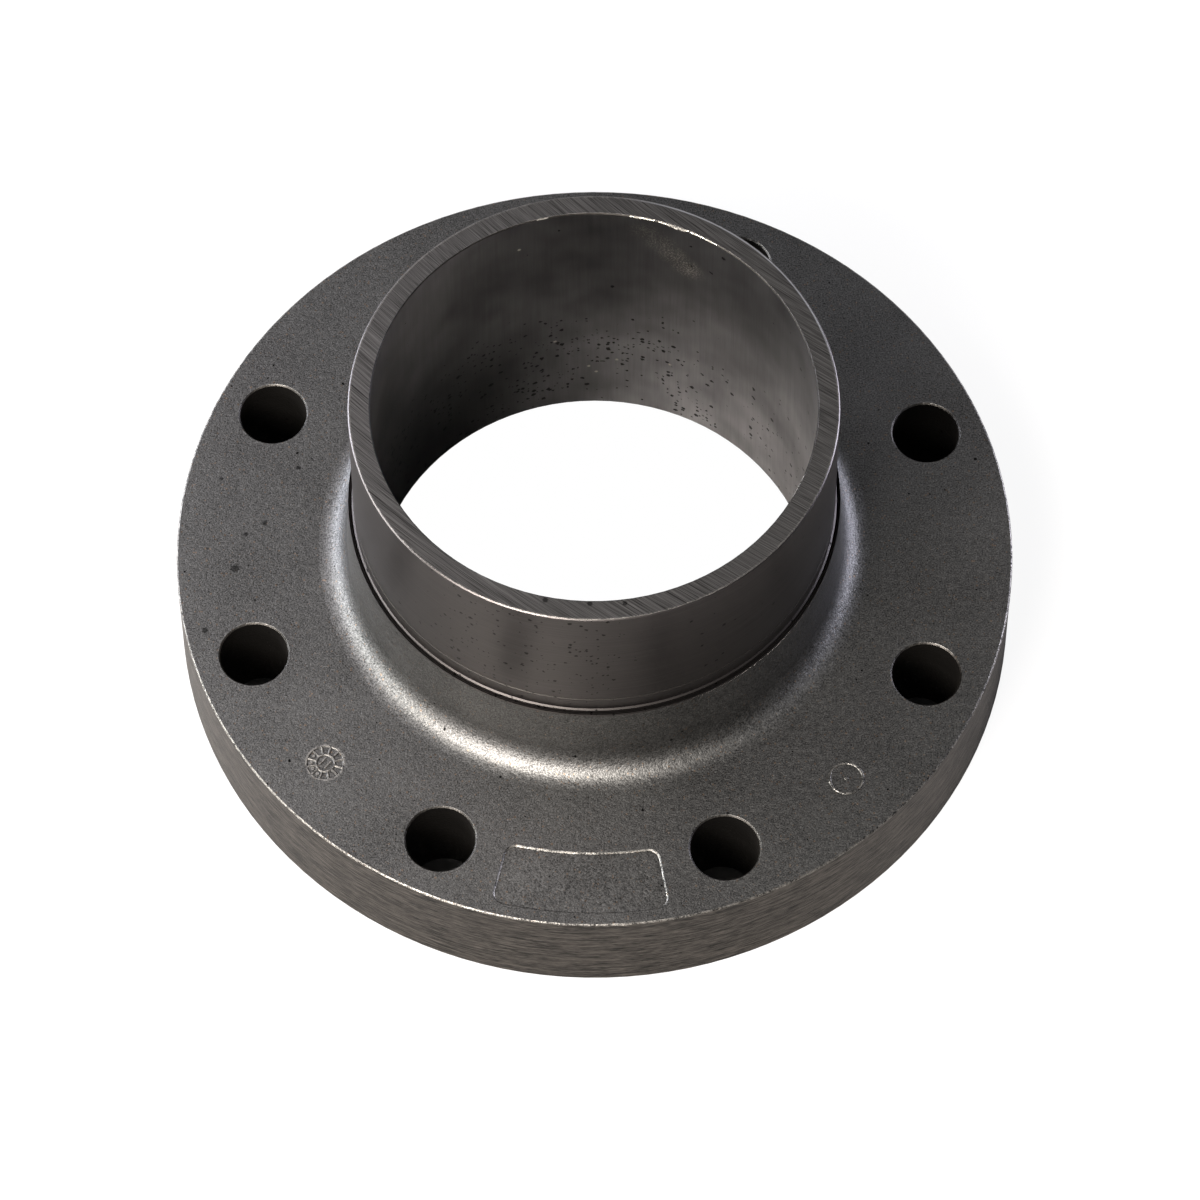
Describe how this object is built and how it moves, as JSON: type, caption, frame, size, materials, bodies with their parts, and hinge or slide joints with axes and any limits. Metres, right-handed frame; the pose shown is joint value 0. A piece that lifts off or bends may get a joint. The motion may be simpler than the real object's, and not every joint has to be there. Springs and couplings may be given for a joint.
{
  "type": "pipe flange",
  "caption": "Thick round cast flange with a drafted rim, bolt holes on a circle and a tall plain turned neck round a tapered bore.",
  "frame": {"origin": "centre of the flat underside, on the bore's axis", "axes": "+Z along the bore axis, out of the neck; the recessed panel on the face is on the -Y side"},
  "size_m": [0.2822, 0.2822, 0.1317],
  "materials": {
    "iron": "shot-blasted casting with a turned neck and a machined neck end"
  },
  "bodies": {
    "root": {"flange": "iron"}
  },
  "joints": []
}
